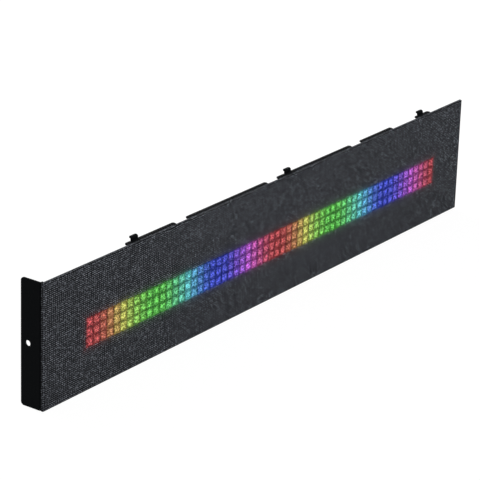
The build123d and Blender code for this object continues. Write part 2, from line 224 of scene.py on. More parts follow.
def light_colour(tree, light, across):
    """The colour of the cell column at a place along the panel, in metres."""
    # The place becomes a whole column, held inside the field, and the column a hue.
    hue = across
    for operation, operand in (
        ("SUBTRACT", LENS_LOW.x), ("DIVIDE", light.pitch), ("FLOOR", 0.0), ("MAXIMUM", 0.0),
        ("MINIMUM", light.columns - 1), ("MULTIPLY", light.turns / light.columns), ("FRACT", 0.0),
    ):
        hue = add(tree, "Math", {0: hue, 1: operand}, operation=operation)
    wheel = add(tree, "CombineColor", {0: hue, 1: 1.0, 2: 1.0}, mode="HSV")
    drive = add(tree, "SeparateColor", {0: wheel})
    mixed = (0, 0, 0)
    for channel, chip in enumerate((light.red, light.green, light.blue)):
        power = add(tree, "Math", {0: drive.outputs[channel], 1: light.response}, operation="POWER")
        mixed = add(
            tree, "VectorMath", {0: tuple(chip), 1: power, 2: mixed}, operation="MULTIPLY_ADD"
        )
    return mixed


def cell_light(tree, light, place):
    """How strongly the light comes through at a place: cells, dark lines and halo."""
    to_wall, outside = [], []
    for axis, count in ((0, light.columns), (2, light.rows)):
        middle, half = (LENS_LOW[axis] + LENS_HIGH[axis]) / 2, count * light.pitch / 2
        away = add(tree, "Math", {0: place.outputs[axis], 1: middle}, operation="SUBTRACT")
        distance = add(tree, "Math", {0: away}, operation="ABSOLUTE")
        past = add(tree, "Math", {0: distance, 1: half}, operation="SUBTRACT")
        outside.append(add(tree, "Math", {0: past, 1: 0.0}, operation="MAXIMUM"))
        to_wall.append(add(tree, "Math", {0: past, 1: light.pitch / 2}, operation="PINGPONG"))
    nearest = add(tree, "Math", {0: to_wall[0], 1: to_wall[1]}, operation="MINIMUM")
    cell = add(
        tree, "MapRange",
        {0: nearest, 1: 0.0, 2: light.soft_edge, 3: light.wall_level, 4: light.middle_level},
        interpolation_type="SMOOTHSTEP",
    )
    gap = add(tree, "Math", {0: outside[0], 1: outside[1]}, operation="MAXIMUM")
    inside = add(tree, "Math", {0: gap, 1: 0.01 * MM}, operation="LESS_THAN")
    decay = add(tree, "Math", {0: gap, 1: -1 / light.halo_reach}, operation="MULTIPLY")
    fade = add(tree, "Math", {0: decay}, operation="EXPONENT")
    halo = add(tree, "Math", {0: fade, 1: light.halo_level}, operation="MULTIPLY")
    return add(tree, "Mix", {0: inside, 2: halo, 3: cell})


def woven_cloth(cloth, light):
    """Woven polyester cloth of charcoal melange yarn."""
    # Mixed dark and light fibres give the eye a dark grey full of pale specks, over the
    # beat of the weave, which drifts a little as the threads wander. Real threads lie about
    # 0.5 mm apart, too fine to show, so they are drawn two to three times as coarse.
    material, tree = new_material("woven_polyester_cloth")
    flat = add(tree, "UVMap", uv_map="cloth")
    threads = add(
        tree, "VectorMath", {0: flat, 1: (1 / cloth.warp, 1 / cloth.weft, 0)}, operation="MULTIPLY"
    )
    wander = add(tree, "TexNoise", {"Vector": threads, "Scale": 0.07, "Detail": 2.0})
    fibre = add(tree, "TexNoise", {"Vector": threads, "Scale": 2.3, "Detail": 3.0})
    crossing = add(tree, "VectorMath", {0: threads}, operation="FLOOR")
    random = add(tree, "TexWhiteNoise", {0: crossing}, noise_dimensions="2D")
    lots = add(tree, "SeparateColor", {0: random.outputs[1]})
    speck = add(tree, "Math", {0: lots, 1: 4.0}, operation="POWER")
    halved = add(tree, "VectorMath", {0: threads, "Scale": 0.5}, operation="SCALE")
    pair = add(tree, "VectorMath", {0: halved}, operation="FLOOR")
    fleck = add(tree, "TexWhiteNoise", {0: pair}, noise_dimensions="2D")
    layers = [(speck, FLOATS), (fibre, FIBRES)]
    for direction, share in BEATS:
        count = add(tree, "VectorMath", {0: threads, 1: direction}, operation="DOT_PRODUCT")
        drift = add(
            tree, "Math", {0: wander, 1: DRIFT, 2: count.outputs["Value"]}, operation="MULTIPLY_ADD"
        )
        angle = add(tree, "Math", {0: drift, 1: math.pi}, operation="MULTIPLY")
        wave = add(tree, "Math", {0: angle}, operation="COSINE")
        layers.append((wave, share))
    layers.append((fleck, PAIRS))
    lightness = GROUND
    for layer, share in layers:
        lightness = add(tree, "Math", {0: layer, 1: share, 2: lightness}, operation="MULTIPLY_ADD")
    shown = add(tree, "Clamp", {0: lightness})
    yarn = add(
        tree, "Mix", {0: shown, 6: (*cloth.yarn_dark, 1), 7: (*cloth.yarn_light, 1)},
        data_type="RGBA",
    )
    # Light from the cells spreads inside the yarn, so each float takes its light from a
    # place a little off its own, and the gaps between floats shine as bright specks.
    point = add(tree, "TexCoord")
    throw = add(
        tree, "VectorMath",
        {0: random.outputs[1], 1: (cloth.weft, 0, cloth.weft), 2: point.outputs["Object"]},
        operation="MULTIPLY_ADD",
    )
    source = add(
        tree, "VectorMath", {0: throw, 1: (cloth.weft / 2, 0, cloth.weft / 2)}, operation="SUBTRACT"
    )
    place = add(tree, "SeparateXYZ", {0: source})
    shining = light_colour(tree, light, place.outputs[0])
    strength = cell_light(tree, light, place)
    gap = add(tree, "Math", {0: lots.outputs[1], 1: 1.5}, operation="POWER")
    passed = add(tree, "Math", {0: gap, 1: GAP_GLOW, 2: EVEN_GLOW}, operation="MULTIPLY_ADD")
    leak = add(tree, "Math", {0: strength, 1: passed}, operation="MULTIPLY")
    # The bright middle of a cell also bleaches a little, and the field drowns the grey
    # of the yarn in its own colour.
    core = add(tree, "Math", {0: leak, 1: 3.0}, operation="POWER")
    held = add(tree, "Math", {0: core, 1: BLEACH_LIMIT}, operation="MINIMUM")
    bleach = add(tree, "VectorMath", {0: BLEACH, "Scale": held}, operation="SCALE")
    shine = add(tree, "VectorMath", {0: shining, 1: leak, 2: bleach}, operation="MULTIPLY_ADD")
    # The yarn drowns between a level just over the halo's and one just under the walls'.
    drown = add(tree, "MapRange", {0: strength, 1: 0.2, 2: 0.36, 3: 1.0, 4: YARN_OVER_CELLS})
    seen = add(tree, "VectorMath", {0: yarn.outputs[2], "Scale": drown}, operation="SCALE")
    bump = add(tree, "Bump", {"Strength": 0.3, "Distance": 0.1 * MM, "Height": fibre})
    shader = add(
        tree, "BsdfPrincipled",
        {
            "Base Color": seen,
            "Roughness": 0.95,
            "Specular IOR Level": 0.1,
            "Emission Color": shine,
            "Emission Strength": light.strength,
            "Normal": bump,
        },
    )
    add(tree, "OutputMaterial", {0: shader})
    return material


def clouds(tree, width, detail, stretch=(1, 1, 1)):
    """Noise on a piece with spots of a real width in metres, stretched along its axes."""
    point = add(tree, "TexCoord")
    along = add(tree, "Mapping", {0: point.outputs["Object"], 3: stretch})
    return add(tree, "TexNoise", {"Vector": along, "Scale": 1 / width, "Detail": detail})


def uneven(tree, tone, rough, relief):
    """Colour, roughness and normal of a shader, each made from a noise.

    The tone is a noise, a colour and the shares of it at both ends, the roughness a noise
    and both ends, and the relief a noise, a strength and a depth in mm.
    """
    noise, base, *shares = tone
    dark, light = [(*[share * part for part in base], 1) for share in shares]
    mixed = add(tree, "Mix", {0: noise, 6: dark, 7: light}, data_type="RGBA")
    # Nearly all of a noise lies between 0.3 and 0.7.
    noise, smooth, dull = rough
    ranged = add(tree, "MapRange", {0: noise, 1: 0.3, 2: 0.7, 3: smooth, 4: dull})
    noise, strength, depth = relief
    bump = add(tree, "Bump", {"Strength": strength, "Distance": depth * MM, "Height": noise})
    return {"Base Color": mixed.outputs[2], "Roughness": ranged, "Normal": bump}


def powder_coat(metal):
    """Satin black polyester powder coat on folded steel sheet."""
    # Baked powder flows into a soft orange peel, so black faces show faint uneven
    # highlights and no brush marks.
    material, tree = new_material("satin_powder_coat")
    dust, peel = clouds(tree, 22 * MM, 5.0), clouds(tree, metal.grain, 2.0)
    skin = uneven(tree, (dust, metal.coat, 0.8, 1.25), (dust, 0.42, 0.56), (peel, 0.35, 0.08))
    shader = add(tree, "BsdfPrincipled", {**skin, "Specular IOR Level": 0.02})
    add(tree, "OutputMaterial", {0: shader})
    return material


def moulded(name, code, roughness, specular, grain):
    """A moulded, printed or fired skin with a fine grain of its own width."""
    # A grained tool, a filler or a weave below leaves a skin whose tone shifts a little from
    # place to place and whose shine is broken up.
    material, tree = new_material(name)
    flow, tooth = clouds(tree, 14 * MM, 3.0), clouds(tree, grain, 3.0)
    limits = (tooth, roughness - 0.06, roughness + 0.06)
    skin = uneven(tree, (flow, linear(code), 0.82, 1.18), limits, (tooth, 0.3, 0.05))
    shader = add(tree, "BsdfPrincipled", {**skin, "Specular IOR Level": specular})
    add(tree, "OutputMaterial", {0: shader})
    return material


def metal_finish(name, code, roughness, grain, stretch):
    """Bare or plated metal with the fine streaks of how it was drawn or plated."""
    # Streaks in one direction spread the highlight and break up the flat tone.
    material, tree = new_material(name)
    streak = clouds(tree, grain, 4.0, stretch)
    limits = (streak, roughness - 0.08, roughness + 0.1)
    skin = uneven(tree, (streak, linear(code), 0.8, 1.0), limits, (streak, 0.2, 0.02))
    shader = add(tree, "BsdfPrincipled", {**skin, "Metallic": 1.0})
    add(tree, "OutputMaterial", {0: shader})
    return material


def lit_resin(name, code, light, strength):
    """Milky resin in front of or round an LED chip, lit in its column's colour."""
    # Fine filler scatters the light, so the whole block glows with a soft bright core.
    material, tree = new_material(name)
    point = add(tree, "TexCoord")
    place = add(tree, "SeparateXYZ", {0: point.outputs["Object"]})
    shining = light_colour(tree, light, place.outputs[0])
    power = cell_light(tree, light, place)
    glow = add(tree, "VectorMath", {0: shining, "Scale": power}, operation="SCALE")
    base = linear(code)
    tone = add(
        tree, "Mix",
        {0: clouds(tree, 1.5 * MM, 3.0), 6: (*[0.9 * part for part in base], 1), 7: (*base, 1)},
        data_type="RGBA",
    )
    shader = add(
        tree, "BsdfPrincipled",
        {
            "Base Color": tone.outputs[2],
            "Roughness": 0.35,
            "Emission Color": glow,
            "Emission Strength": strength,
        },
    )
    add(tree, "OutputMaterial", {0: shader})
    return material


# Colour, roughness, specular level and grain width in mm of each moulded or printed skin.
SKINS = {
    # Spark-eroded ABS: dull black with a fine tooth.
    "black_abs": ("#17181A", 0.6, 0.3, 0.5),
    # Moulded polyamide: black with a slight waxy sheen.
    "black_nylon": ("#141517", 0.5, 0.35, 0.4),
    # Moulded polyamide without dye: warm white, a little translucent to the eye.
    "natural_nylon": ("#DCD8C8", 0.5, 0.4, 0.4),
    # Moulded polycarbonate: smooth black that swallows stray light.
    "black_polycarbonate": ("#101112", 0.5, 0.3, 0.4),
    # Solder mask over glass laminate: green-black and glossy, the glass weave just felt.
    "black_solder_mask": ("#1C2722", 0.34, 0.5, 1.6),
    # The same mask over copper: paler, because the bright copper shows through.
    "masked_copper": ("#4A6456", 0.34, 0.5, 1.6),
    # Screen-printed ink: matt white, a little uneven.
    "white_print_ink": ("#D9DAD6", 0.7, 0.3, 0.3),
    # Transfer-moulded epoxy: charcoal and dull, from its quartz filler.
    "moulded_epoxy": ("#232427", 0.6, 0.4, 0.12),
    # Fired ceramic: tan and half gloss.
    "fired_ceramic": ("#A37B55", 0.4, 0.5, 0.2),
    # Sintered ferrite: dark grey and grainy.
    "sintered_ferrite": ("#3C3D40", 0.6, 0.4, 0.15),
}

# Colour, roughness, streak width in mm and stretch of each bare or plated metal.
METALS = {
    # Zinc plate: blue-white with soft clouds.
    "zinc_plated_steel": ("#B9BCC0", 0.38, 0.6, (1, 1, 0.2)),
    # Impact-drawn aluminium: bright with fine draw lines along the can.
    "drawn_aluminium": ("#D6D8DA", 0.3, 0.3, (1, 0.1, 1)),
    # Tin plate: bright and slightly milky.
    "tinned_brass": ("#D9D2B4", 0.3, 0.3, (1, 0.1, 1)),
    # Reflowed tin on copper: silvery with a soft edge.
    "tinned_copper": ("#CFD1CF", 0.36, 0.3, (1, 1, 1)),
    # Thin gold over nickel: warm and clean.
    "gilt_copper": ("#D8B468", 0.32, 0.3, (1, 1, 1)),
}


def finish(name):
    """A finish from the tables, made the first time that it is asked for."""
    made = bpy.data.materials.get(name)
    if made:
        return made
    if name in METALS:
        code, roughness, grain, stretch = METALS[name]
        return metal_finish(name, code, roughness, grain * MM, stretch)
    code, roughness, specular, grain = SKINS[name]
    return moulded(name, code, roughness, specular, grain * MM)


# Shapes


def mm(*values):
    """A place or step written in millimetres."""
    return Vector([value * MM for value in values])


def pick(piece, test):
    """Goes to edit mode with only the vertices selected whose place passes a test."""
    bpy.ops.object.mode_set(mode="EDIT")
    bpy.ops.mesh.select_mode(type="VERT")
    bpy.ops.mesh.select_all(action="DESELECT")
    bpy.ops.object.mode_set(mode="OBJECT")
    for vertex in piece.data.vertices:
        vertex.select = test(vertex.co)
    bpy.ops.object.mode_set(mode="EDIT")


def give_wall(piece, thickness):
    """Gives a thin shape its thickness, half to each side."""
    wall = piece.modifiers.new("wall", "SOLIDIFY")
    wall.thickness = thickness
    wall.offset = 0
    wall.use_even_offset = True
    select_only(piece)
    bpy.ops.object.modifier_apply(modifier=wall.name)


def block(low, high, rounding, segments=1):
    """A block between two corners with all its edges rounded."""
    bpy.ops.object.select_all(action="DESELECT")
    bpy.ops.mesh.primitive_cube_add(size=1.0, location=(low + high) / 2)
    piece = bpy.context.object
    piece.scale = high - low
    bpy.ops.object.transform_apply(location=True, rotation=True, scale=True)
    bpy.ops.object.mode_set(mode="EDIT")
    bpy.ops.mesh.select_all(action="SELECT")
    bpy.ops.mesh.bevel(offset=rounding, segments=segments, affect="EDGES")
    bpy.ops.object.mode_set(mode="OBJECT")
    return piece


def strip(start, width, steps, thickness):
    """A strip that lies across X and runs up Z, bent at the end of each step."""
    bpy.ops.object.select_all(action="DESELECT")
    bpy.ops.mesh.primitive_plane_add(size=width, location=start, rotation=(math.pi / 2, 0, 0))
    piece = bpy.context.object
    bpy.ops.object.transform_apply(location=True, rotation=True, scale=True)
    pick(piece, lambda place: place.z > start.z)
    bpy.ops.transform.translate(value=steps[0] - Vector((0, 0, width / 2)))
    for step in steps[1:]:
        bpy.ops.mesh.extrude_region_move(TRANSFORM_OT_translate={"value": step})
    pick(piece, lambda place: place.z < start.z - width / 4)
    bpy.ops.transform.translate(value=(0, 0, width / 2))
    bpy.ops.object.mode_set(mode="OBJECT")
    give_wall(piece, thickness)
    return piece


def outline(low, high, depth, line, thickness):
    """A printed frame between two corners of a board, given as X and Z."""
    bpy.ops.object.select_all(action="DESELECT")
    middle = Vector(((low[0] + high[0]) / 2, depth, (low[1] + high[1]) / 2))
    bpy.ops.mesh.primitive_plane_add(size=1.0, location=middle, rotation=(math.pi / 2, 0, 0))
    piece = bpy.context.object
    piece.scale = (high[0] - low[0], high[1] - low[1], 1)
    bpy.ops.object.transform_apply(location=True, rotation=True, scale=True)
    bpy.ops.object.mode_set(mode="EDIT")
    bpy.ops.mesh.select_all(action="SELECT")
    bpy.ops.mesh.inset(thickness=line)
    bpy.ops.mesh.delete(type="FACE")
    bpy.ops.object.mode_set(mode="OBJECT")
    give_wall(piece, thickness)
    return piece


def turned(centre, rings, sides):
    """A round body about an axis along Y, from the radius and height of each ring."""
    radius, height = rings[0]
    foot = centre + Vector((0, height, 0))
    bpy.ops.object.select_all(action="DESELECT")
    bpy.ops.mesh.primitive_circle_add(
        vertices=sides, radius=radius, fill_type="NGON", location=foot,
        rotation=(math.pi / 2, 0, 0),
    )
    piece = bpy.context.object
    bpy.ops.object.transform_apply(location=True, rotation=True, scale=True)
    bpy.ops.object.mode_set(mode="EDIT")
    bpy.ops.mesh.select_all(action="SELECT")
    for next_radius, next_height in rings[1:]:
        rise = (0, next_height - height, 0)
        bpy.ops.mesh.extrude_region_move(TRANSFORM_OT_translate={"value": rise})
        share = next_radius / radius
        bpy.ops.transform.resize(value=(share, 1, share), center_override=centre)
        radius, height = next_radius, next_height
    bpy.ops.mesh.select_all(action="SELECT")
    bpy.ops.mesh.normals_make_consistent(inside=False)
    bpy.ops.object.mode_set(mode="OBJECT")
    bpy.ops.object.shade_smooth_by_angle(angle=math.radians(35))
    return piece


def at(x, z, turn=0):
    """A place on the boards in metres, turned about the Y axis by degrees."""
    return Matrix.Translation((x, 0, z)) @ Matrix.Rotation(math.radians(turn), 4, "Y")


def evenly(count, pitch):
    """Places at an even pitch about zero."""
    return [pitch * (i - (count - 1) / 2) for i in range(count)]


def twin_of(source):
    """A copy of a finished shape with its own mesh."""
    select_only(source)
    bpy.ops.object.duplicate(linked=False)
    return bpy.context.object


def repeat(source, places):
    """A finished shape copied to each place, as one piece."""
    twins = []
    for place in places:
        twin = twin_of(source)
        twin.matrix_world = place @ twin.matrix_world
        twins.append(twin)
    bpy.data.objects.remove(source)
    return join(twins)


def join(pieces):
    """Several shapes as one piece at the origin."""
    select_only(pieces[0])
    for piece in pieces:
        piece.select_set(True)
    if len(pieces) > 1:
        bpy.ops.object.join()
    bpy.ops.object.transform_apply(location=True, rotation=True, scale=True)
    return bpy.context.object


# The cloth cover

# Size of the faces over the front, and steps in the front's edge, the fold and the hem.
FACE_SIZE = 2.4 * MM
EDGE_STEPS, FOLD_STEPS, HEM_STEPS = 4, 3, 5


def cloth_profile(cloth):
    """Inset, depth and length run of the cloth's middle line from the front's edge to its hem."""
    half = cloth.thickness / 2
    radius, fold = cloth.edge_radius - half, cloth.fold_radius
    back = CLOTH_HIGH.y - half
    side_end = back - fold
    points = []
    for step in range(EDGE_STEPS + 1):
        angle = math.radians(90 * step / EDGE_STEPS)
        points.append((
            cloth.edge_radius - radius * math.sin(angle),
            CLOTH_LOW.y + cloth.edge_radius - radius * math.cos(angle),
            radius * angle,
        ))
    _, depth, run = points[-1]
    run += side_end - depth
    points.append((half, side_end, run))
    for step in range(1, FOLD_STEPS + 1):
        angle = math.radians(90 * step / FOLD_STEPS)
        points.append((
            half + fold - fold * math.cos(angle),
            side_end + fold * math.sin(angle),
            run + fold * angle,
        ))
    inset, _, run = points[-1]
    hem = cloth.hem_edge - inset
    for step in range(1, HEM_STEPS + 1):
        part = hem * step / HEM_STEPS
        points.append((inset + part, back, run + part))
    return points


def stops(half, count):
    """Evenly spaced places from minus half to plus half."""
    return [-half + 2 * half * i / count for i in range(count + 1)]


def cloth_sheet(cloth):
    """The cloth as one sheet: a grid over the front, and loops round the edges into the hem."""
    size, middle = CLOTH_HIGH - CLOTH_LOW, (CLOTH_HIGH + CLOTH_LOW) / 2
    half_x, half_z = size.x / 2, size.z / 2
    profile = cloth_profile(cloth)
    flat_x, flat_z = half_x - profile[0][0], half_z - profile[0][0]
    columns, rows = round(2 * flat_x / FACE_SIZE), round(2 * flat_z / FACE_SIZE)
    xs, zs = stops(flat_x, columns), stops(flat_z, rows)
    vertices, faces, charts = [], [], []

    def vertex(x, y, z):
        vertices.append((x + middle.x, y, z + middle.z))
        return len(vertices) - 1

    grid = [[vertex(x, profile[0][1], z) for x in xs] for z in zs]
    for row in range(rows):
        for column in range(columns):
            corners = (row, column), (row, column + 1), (row + 1, column + 1), (row + 1, column)
            faces.append([grid[j][i] for j, i in corners])
            charts.append([(xs[i], zs[j]) for j, i in corners])
    rim = (
        [(grid[0][i], xs[i], -flat_z) for i in range(columns)]
        + [(grid[j][columns], flat_x, zs[j]) for j in range(rows)]
        + [(grid[rows][i], xs[i], flat_z) for i in range(columns, 0, -1)]
        + [(grid[j][0], -flat_x, zs[j]) for j in range(rows, 0, -1)]
    )
    # The way outward, along X and Z, of each face in a loop: bottom, right, top and left.
    ways = [(0, -1)] * columns + [(1, 0)] * rows + [(0, 1)] * columns + [(-1, 0)] * rows
    loop = [corner for corner, _, _ in rim]
    for before, after in zip(profile, profile[1:]):
        inset, depth, _ = after
        wide, tall = (half_x - inset) / flat_x, (half_z - inset) / flat_z
        made = [vertex(x * wide, depth, z * tall) for _, x, z in rim]
        for i, (way_x, way_z) in enumerate(ways):
            j = (i + 1) % len(rim)
            faces.append([loop[i], made[i], made[j], loop[j]])
            chart = []
            for k, (inset, _, run) in ((i, before), (i, after), (j, after), (j, before)):
                _, x, z = rim[k]
                chart.append((
                    way_x * (flat_x + run) if way_x else x * (half_x - inset) / flat_x,
                    way_z * (flat_z + run) if way_z else z * (half_z - inset) / flat_z,
                ))
            charts.append(chart)
        loop = made
    mesh = bpy.data.meshes.new("cloth_cover")
    mesh.from_pydata(vertices, [], faces)
    mesh.update()
    unrolled = mesh.uv_layers.new(name="cloth")
    for polygon, chart in zip(mesh.polygons, charts):
        for index, place in zip(polygon.loop_indices, chart):
            unrolled.data[index].uv = place
    obj = bpy.data.objects.new("cloth_cover", mesh)
    bpy.context.scene.collection.objects.link(obj)
    run = profile[-1][2]
    return obj, (2 * (flat_x + run), 2 * (flat_z + run)), run


class MATRIXPANEL_OT_cloth_cover(bpy.types.Operator):
    """Wraps the cloth cover round the front board, with its mitred hem behind."""

    bl_idname = "matrix_panel.cloth_cover"
    bl_label = "Cloth cover"

    def execute(self, context):
        cloth = context.scene.matrix_panel_cloth
        obj, flat, run = cloth_sheet(cloth)
        select_only(obj)
        bpy.ops.object.mode_set(mode="EDIT")
        bpy.ops.mesh.select_all(action="SELECT")
        bpy.ops.mesh.normals_make_consistent(inside=False)
        bpy.ops.object.mode_set(mode="OBJECT")
        give_wall(obj, cloth.thickness)
        bpy.ops.object.shade_smooth_by_angle(angle=math.radians(40))
        seat(
            obj, "cloth_cover",
            woven_cloth(cloth, context.scene.matrix_panel_light), ["fabric_cover"],
        )
        return {"FINISHED"}


class MATRIXPANEL_OT_metalwork(bpy.types.Operator):
    """Finishes the folded chassis, the pillars and their nuts."""

    bl_idname = "matrix_panel.metalwork"
    bl_label = "Metalwork"

    def execute(self, context):
        dress(NODES["chassis"], powder_coat(context.scene.matrix_panel_metal))
        for name in ("controller_pillars", "controller_nuts"):
            dress(NODES[name], finish("zinc_plated_steel"))
        return {"FINISHED"}


class MATRIXPANEL_OT_mouldings(bpy.types.Operator):
    """Finishes the front board, the light grids and the connectors."""

    bl_idname = "matrix_panel.mouldings"
    bl_label = "Mouldings"

    def execute(self, context):
        dress(NODES["front_board"], finish("black_abs"))
        for name in ("link_plugs", "link_sockets", "controller_plug", "controller_socket"):
            dress(NODES[name], finish("black_nylon"))
        for number in MODULES:
            dress(NODES[f"light_grid_{number}"], finish("black_polycarbonate"))
        dress(NODES["input_header"], finish("natural_nylon"))
        return {"FINISHED"}


class MATRIXPANEL_OT_lights(bpy.types.Operator):
    """Finishes the cell lenses and the LED packages."""

    bl_idname = "matrix_panel.lights"
    bl_label = "Lights"

    def execute(self, context):
        light = context.scene.matrix_panel_light
        lens = lit_resin("milky_resin", "#E6E7E8", light, 0.8)
        package = lit_resin("led_package_resin", "#E2E0D8", light, 1.0)
        for name in LENS_NODES:
            dress(NODES[name], lens)
        for number in MODULES:
            dress(NODES[f"leds_{number}"], package)
        return {"FINISHED"}


class MATRIXPANEL_OT_electronics(bpy.types.Operator):
    """Finishes the circuit boards and the parts on them that keep their shape."""

    bl_idname = "matrix_panel.electronics"
    bl_label = "Electronics"

    def execute(self, context):
        for number in MODULES:
            dress(NODES[f"led_board_{number}"], finish("black_solder_mask"))
            dress(NODES[f"driver_chips_{number}"], finish("moulded_epoxy"))
        dress(NODES["controller_board"], finish("black_solder_mask"))
        dress(NODES["controller_chip"], finish("moulded_epoxy"))
        dress(NODES["filter_capacitors"], finish("fired_ceramic"))
        dress(NODES["input_pins"], finish("tinned_brass"))
        return {"FINISHED"}


# Legs along a side, and height over the board at which they leave the chip.
DRIVER_LEGS, DRIVER_LEG_RISE = 7, 0.85 * MM
CONTROLLER_LEGS, CONTROLLER_LEG_RISE, CONTROLLER_LEG_PITCH = 11, 0.7 * MM, 0.8 * MM


def gull_leg(boards, side, rise):
    """A chip's leg: out of the body's side, down to the board and out along it."""
    foot = CIRCUIT_BACK + boards.leg_thickness
    start = Vector((0, CIRCUIT_BACK + rise, side - boards.leg_reach / 10))
    level, slope = 0.45 * boards.leg_reach, 0.2 * boards.leg_reach
    steps = Vector((0, 0, level)), Vector((0, foot - start.y, slope)), Vector((0, 0, level))
    return strip(start, boards.leg_width, steps, boards.leg_thickness)


class MATRIXPANEL_OT_chip_legs(bpy.types.Operator):
    """Adds the bent legs of the driver chips and of the controller chip."""

    bl_idname = "matrix_panel.chip_legs"
    bl_label = "Chip legs"

    def execute(self, context):
        boards = context.scene.matrix_panel_boards
        low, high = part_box("driver_chips_1")
        row = evenly(DRIVER_LEGS, boards.leg_pitch)
        chip = repeat(
            gull_leg(boards, (high.z - low.z) / 2, DRIVER_LEG_RISE),
            [at(0, 0, turn) @ at(x, 0) for turn in (0, 180) for x in row],
        )
        for number in MODULES:
            legs = repeat(twin_of(chip), [at(x, CHIP_LEVEL) for x in chip_places(number)])
            seat(legs, f"driver_chip_legs_{number}", finish("tinned_copper"))
        bpy.data.objects.remove(chip)

        low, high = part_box("controller_chip")
        middle = (low + high) / 2
        row = evenly(CONTROLLER_LEGS, CONTROLLER_LEG_PITCH)
        turns = [at(middle.x, middle.z, turn) for turn in (0, 90, 180, 270)]
        legs = repeat(
            gull_leg(boards, (high.z - low.z) / 2, CONTROLLER_LEG_RISE),
            [turn @ at(x, 0) for turn in turns for x in row],
        )
        seat(legs, "controller_chip_legs", finish("tinned_copper"))
        return {"FINISHED"}


# Half the length of a filter capacitor with its plating, the width of a plated end, and how
# far that stands proud of the ceramic.
CAPACITOR_HALF, END_WIDTH, END_PROUD = 1.62 * MM, 0.54 * MM, 0.02 * MM


class MATRIXPANEL_OT_capacitor_ends(bpy.types.Operator):
    """Adds the tinned ends of the filter capacitors."""

    bl_idname = "matrix_panel.capacitor_ends"
    bl_label = "Capacitor ends"

    def execute(self, context):
        low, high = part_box("filter_capacitors")
        near = Vector((-CAPACITOR_HALF, CIRCUIT_BACK, low.z - END_PROUD))
        far = Vector((END_WIDTH - CAPACITOR_HALF, high.y + END_PROUD, high.z + END_PROUD))
        shifts = (0, 2 * CAPACITOR_HALF - END_WIDTH)
        ends = repeat(block(near, far, 0.12 * MM), [
            at(x + shift, 0) for number in MODULES for x in chip_places(number)
            for shift in shifts
        ])
        seat(ends, "filter_capacitor_ends", finish("tinned_copper"))
        return {"FINISHED"}


# Tracks round a driver chip, in mm: how far from its middle they start, and how long the
# middle one and its neighbours run. The others run on in steps, bend out by one step more
# each, and end in a straight run.
FAN_START, FAN_MIDDLE, FAN_NEXT = 3.1, 3.6, 2.6
FAN_STEP, FAN_BEND, FAN_END = 1.6, 2.2, 6.0
# Level over the chips' middle and width, in mm, of the tracks that run along a board, and
# the length of such a track, of its straight ends and of the jog after each.
BUS_TRACKS = ((-21.6, 1.8), (-18.8, 1.8), (17.4, 0.5), (18.8, 0.5), (20.2, 0.5), (21.6, 0.5))
BUS_LENGTH, BUS_END, BUS_JOG = 144.0, 3.0, 0.8
# Outer and inner radius of the ring round a plated hole, and its sides.
HOLE_OUTER, HOLE_INNER, HOLE_SIDES = 0.5 * MM, 0.28 * MM, 8


def chip_tracks(boards, depth):
    """The tracks on one side of a driver chip, and the places of the holes at their ends."""
    tracks, holes = [], []
    for i in range(-3, 4):
        out = 0.0
        if i == 0:
            steps = [mm(0, 0, FAN_MIDDLE)]
        elif abs(i) == 1:
            steps = [mm(0, 0, FAN_NEXT)]
        else:
            out = math.copysign(FAN_BEND * (abs(i) - 1), i)
            steps = [
                mm(0, 0, FAN_STEP * (4 - abs(i))), mm(out, 0, abs(out)), mm(0, 0, FAN_END)
            ]
        start = Vector((boards.leg_pitch * i, depth, FAN_START * MM))
        tracks.append(strip(start, boards.track_width, steps, boards.track_height))
        holes.append(at(start.x + out * MM, start.z + sum(step.z for step in steps)))
    return join(tracks), holes


def bus_tracks(boards, depth):
    """The long tracks above and below the chips, with a small jog near each end."""
    run = BUS_LENGTH - 2 * (BUS_END + BUS_JOG)
    steps = [
        mm(0, 0, BUS_END), mm(BUS_JOG, 0, BUS_JOG), mm(0, 0, run), mm(-BUS_JOG, 0, BUS_JOG),
        mm(0, 0, BUS_END),
    ]
    lines = []
    for level, width in BUS_TRACKS:
        line = strip(Vector((0, depth, 0)), width * MM, steps, boards.track_height)
        lines.append(repeat(line, [at(-BUS_LENGTH / 2 * MM, level * MM, 90)]))
    return join(lines)


class MATRIXPANEL_OT_board_copper(bpy.types.Operator):
    """Adds the raised copper tracks under the mask, and the plated holes."""

    bl_idname = "matrix_panel.board_copper"
    bl_label = "Board copper"

    def execute(self, context):
        boards = context.scene.matrix_panel_boards
        lift = boards.track_height
        depth = CIRCUIT_BACK + lift / 2
        both = (at(0, 0), at(0, 0, 180))
        tracks, places = chip_tracks(boards, depth)
        fan = repeat(tracks, both)
        hole = turned(
            Vector((0, CIRCUIT_BACK, 0)),
            [(HOLE_OUTER, 0), (HOLE_OUTER, 2 * lift), (HOLE_INNER, 2 * lift), (HOLE_INNER, lift)],
            HOLE_SIDES,
        )
        holes = repeat(hole, [turn @ place for turn in both for place in places])
        bus = bus_tracks(boards, depth)
        for number in MODULES:
            chips = [at(x, CHIP_LEVEL) for x in chip_places(number)]
            low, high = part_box(f"led_board_{number}")
            middle = at((low.x + high.x) / 2, CHIP_LEVEL)
            tracks = join([repeat(twin_of(fan), chips), repeat(twin_of(bus), [middle])])
            seat(tracks, f"board_tracks_{number}", finish("masked_copper"))
            rings = repeat(twin_of(holes), chips)
            seat(rings, f"plated_holes_{number}", finish("gilt_copper"))
        for source in (fan, holes, bus):
            bpy.data.objects.remove(source)
        return {"FINISHED"}


# Corners of the frames printed round a driver chip and its capacitor, in mm from the chip,
# and the gap in mm between other parts and the frames round them.
CHIP_FRAMES = (((-5.2, -1.5), (5.2, 1.5)), ((-2.3, -10.3), (2.3, -7.7)))
FRAME_GAPS = {"power_coil": 0.45, "input_header": 0.45, "can_capacitors": 0.5}


